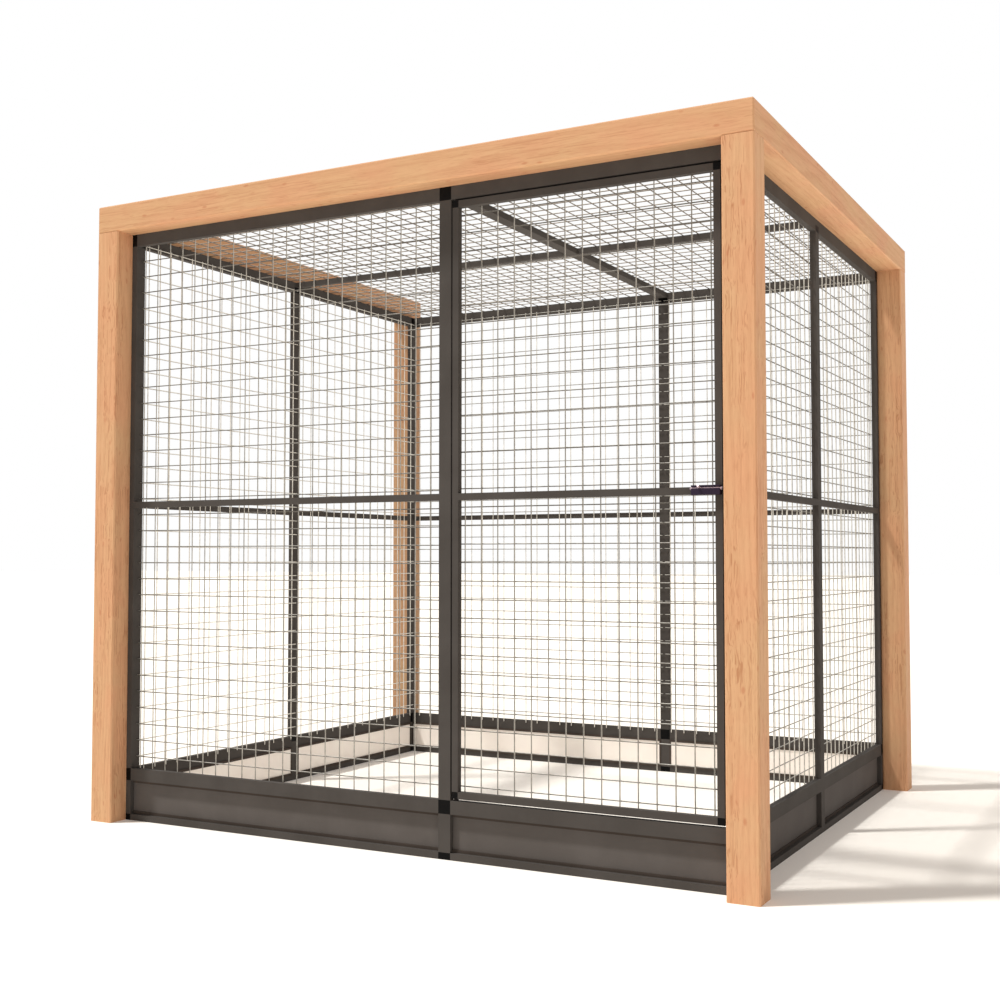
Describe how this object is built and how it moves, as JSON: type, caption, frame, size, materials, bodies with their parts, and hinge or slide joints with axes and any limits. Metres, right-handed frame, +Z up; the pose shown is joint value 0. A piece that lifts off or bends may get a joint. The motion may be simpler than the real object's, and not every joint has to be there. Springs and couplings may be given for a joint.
{
  "type": "cat run",
  "caption": "Walk-in cat run: a timber post-and-beam frame round a cage of dark aluminium tube, welded mesh and low kick panels, with a pivoted mesh door and slide bolt.",
  "frame": {"origin": "Middle of the footprint, on the ground.", "axes": "+X to the right along the front, +Y from the front to the back, +Z up."},
  "size_m": [2.288, 1.93, 2.06],
  "materials": {
    "timber": "planed, oiled",
    "tube": "satin powder coat",
    "connector": "moulded",
    "mesh": "galvanised",
    "kick_panel": "satin",
    "channel": "satin",
    "steel": "zinc plated",
    "latch": "black",
    "bolt": "bright plated"
  },
  "bodies": {
    "run": {"beam_front": "timber", "beam_left": "timber", "beam_right": "timber", "bottom_rail_back": "tube", "bottom_rail_front": "tube", "bottom_rail_left": "tube", "bottom_rail_right": "tube", "connectors_back": "connector", "connectors_front_low": "connector", "connectors_front_top": "connector", "connectors_sides": "connector", "kick_panels_back": "kick_panel", "kick_panels_front": "kick_panel", "kick_panels_left": "kick_panel", "kick_panels_right": "kick_panel", "kick_rail_back": "tube", "kick_rail_front": "tube", "kick_rail_left": "tube", "kick_rail_right": "tube", "latch_keeper": "steel", "mesh_back": "mesh", "mesh_front": "mesh", "mesh_left": "mesh", "mesh_right": "mesh", "mesh_roof": "mesh", "mid_rail_back": "tube", "mid_rail_front": "tube", "mid_rail_left": "tube", "mid_rail_right": "tube", "mullion_back": "tube", "mullion_front": "tube", "mullion_left": "tube", "mullion_right": "tube", "panel_channels": "channel", "post_back_left": "timber", "post_back_right": "timber", "post_front_left": "timber", "post_front_right": "timber", "roof_bar_cross": "tube", "roof_bar_long": "tube", "stile_back_left": "tube", "stile_back_right": "tube", "stile_front_left": "tube", "stile_front_right": "tube", "top_rail_back": "tube", "top_rail_front": "tube", "top_rail_left": "tube", "top_rail_right": "tube"},
    "door": {"door_bottom_rail": "tube", "door_corners": "connector", "door_hinge_stile": "tube", "door_latch_stile": "tube", "door_mesh": "mesh", "door_mid_rail": "tube", "door_pivots": "steel", "door_top_rail": "tube", "latch_body": "latch"},
    "bolt": {"latch_bolt": "bolt"}
  },
  "joints": [
    {"name": "door_hinge", "type": "hinge", "parent": "run", "child": "door", "pos_m": [0.217, -0.885, 1.05], "axis": [0, 0, -1], "range_deg": [0, 100]},
    {"name": "bolt_slide", "type": "slide", "parent": "door", "child": "bolt", "axis": [1, 0, 0], "range_m": [0, 0.018]}
  ]
}
